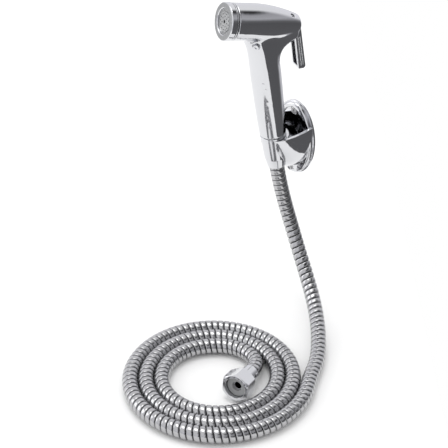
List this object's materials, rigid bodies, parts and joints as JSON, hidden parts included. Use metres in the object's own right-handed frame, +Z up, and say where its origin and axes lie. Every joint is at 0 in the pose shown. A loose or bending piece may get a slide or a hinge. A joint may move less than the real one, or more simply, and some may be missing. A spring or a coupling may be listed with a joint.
{
  "type": "handheld bidet sprayer",
  "caption": "Chrome trigger hand spray seated in an oval wall holder, with a coiled metal shower hose that ends in a hex supply nut.",
  "frame": {"origin": "centre of the wall holder's back face", "axes": "+Z up, +Y into the wall; the object stands on the -Y side"},
  "size_m": [0.1801, 0.2544, 0.3103],
  "materials": {
    "chrome": "polished chrome plate",
    "steel_hose": "stainless interlocked hose",
    "brass": "machined brass",
    "rubber": "black rubber",
    "grey_rubber": "grey rubber washer",
    "spray_plate": "satin grey plate",
    "plastic_white": "moulded plastic",
    "spring_steel": "spring wire"
  },
  "bodies": {
    "bracket": {"wall_bracket": "chrome", "hose_drop": "steel_hose", "hose_coil": "steel_hose", "hose_inner_end": "steel_hose", "supply_sleeve": "chrome", "supply_tail": "chrome", "supply_washer": "grey_rubber"},
    "hose_top": {"hose_tail_top": "brass", "hose_stub_top": "steel_hose", "crimp_sleeve_top": "steel_hose"},
    "handset": {"cone_nut": "chrome", "union_washer": "rubber", "inlet_connector": "brass", "inlet_o_ring": "rubber", "trim_ring": "chrome", "riser_tube": "plastic_white", "handset_body": "chrome", "throat_plug": "chrome", "nozzle_ring": "chrome", "joint_ring": "chrome", "spray_face": "spray_plate", "face_seal": "rubber", "spray_strainer": "plastic_white", "valve_body": "brass", "stem_o_ring": "rubber", "gland_nut": "brass", "valve_spring": "spring_steel", "trigger_pin": "spring_steel"},
    "trigger": {"trigger_lever": "chrome"},
    "valve_stem": {"valve_stem": "brass", "seat_seal": "rubber"},
    "supply_nut": {"supply_nut": "chrome"}
  },
  "joints": [
    {"name": "handset_lift", "type": "slide", "parent": "bracket", "child": "hose_top", "axis": [0, -0.1702, 0.9854], "range_m": [0, 0.045]},
    {"name": "handset_turn", "type": "hinge", "parent": "hose_top", "child": "handset", "pos_m": [0, -0.0257, -0.0192], "axis": [0, -0.1702, 0.9854], "continuous": true},
    {"name": "trigger_pull", "type": "hinge", "parent": "handset", "child": "trigger", "pos_m": [0.00951, -0.02519, 0.12965], "axis": [-0.9385, 0.3403, 0.0588], "range_deg": [0, 14]},
    {"name": "valve_lift", "type": "slide", "parent": "handset", "child": "valve_stem", "axis": [-0.3224, -0.9244, 0.204], "range_m": [0, 0.00159], "deforming": ["valve_spring"]},
    {"name": "supply_nut_spin", "type": "hinge", "parent": "bracket", "child": "supply_nut", "pos_m": [0.09538, -0.17637, -0.14287], "axis": [0.2899, -0.9469, 0.1392], "continuous": true}
  ],
  "couplings": [
    {"joint": "valve_lift", "follows": "trigger_pull", "m_per_rad": 0.0065}
  ]
}
